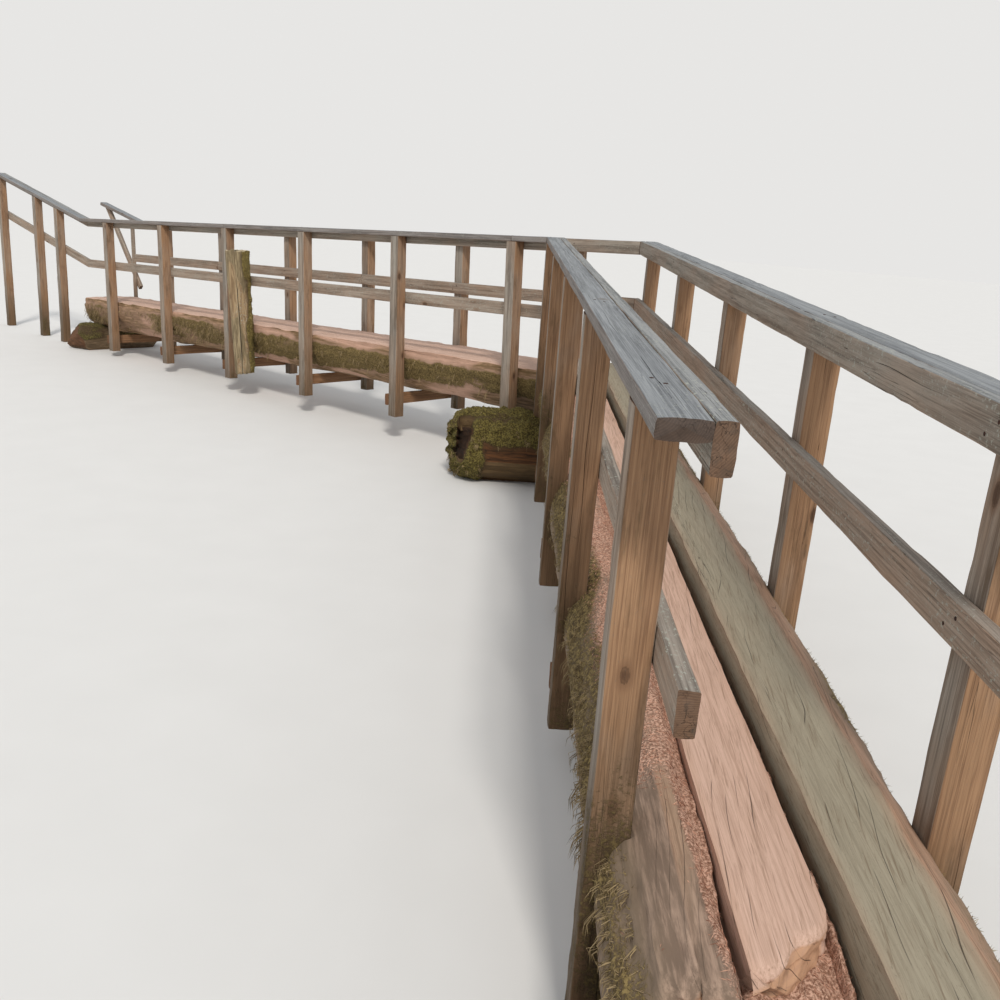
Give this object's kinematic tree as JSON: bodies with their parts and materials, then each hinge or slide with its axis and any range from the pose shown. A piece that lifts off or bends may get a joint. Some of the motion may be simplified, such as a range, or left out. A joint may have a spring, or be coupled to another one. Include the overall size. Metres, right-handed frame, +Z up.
{
  "type": "log footbridge",
  "caption": "Rustic log footbridge that turns to the left between two spans, with hewn log decks, timber post and board railings, and log sills.",
  "frame": {"origin": "on the floor under the outer corner of the railing at the bend, on the underside of the bend sill", "axes": "+X along the far span toward the bend and the near bank, +Y from its front railing to its back railing, +Z up"},
  "size_m": [13.8466, 4.9999, 1.9291],
  "materials": {
    "sill_log": "weathered round log",
    "mossy_log": "mossy round log with a hewn face",
    "hewn_log": "hewn and weathered",
    "pale_hewn_log": "hewn, worn pale",
    "post_timber": "sawn, weathered",
    "tie_timber": "sawn, weathered",
    "grey_cap_board": "sawn, weathered silver grey",
    "rail_board": "sawn, weathered",
    "split_log": "split, with bark"
  },
  "bodies": {
    "root": {"near_sill": "sill_log", "far_sill": "sill_log", "bend_sill": "mossy_log", "near_left_log": "hewn_log", "near_right_log": "hewn_log", "near_middle_log": "pale_hewn_log", "far_log": "pale_hewn_log", "near_posts_1": "post_timber", "near_posts_2": "post_timber", "near_posts_3": "post_timber", "near_posts_4": "post_timber", "near_posts_5": "post_timber", "far_posts_1": "post_timber", "far_posts_2": "post_timber", "far_posts_3": "post_timber", "far_posts_4": "post_timber", "far_posts_5": "post_timber", "far_posts_6": "post_timber", "bank_posts": "post_timber", "near_cross_ties": "tie_timber", "far_cross_ties": "tie_timber", "near_left_cap": "grey_cap_board", "near_right_cap": "grey_cap_board", "far_front_cap": "grey_cap_board", "far_back_cap": "grey_cap_board", "bank_cap": "grey_cap_board", "bank_back_cap": "grey_cap_board", "near_left_rail": "rail_board", "near_right_rail": "rail_board", "far_front_rail": "rail_board", "far_back_rail": "rail_board", "bank_rail": "rail_board", "near_left_midrail": "rail_board", "near_right_midrail": "rail_board", "far_front_midrail": "rail_board", "far_back_midrail": "rail_board", "bank_midrail": "rail_board", "bank_thin_post": "rail_board", "bank_brace": "rail_board", "split_post": "split_log"}
  },
  "joints": []
}
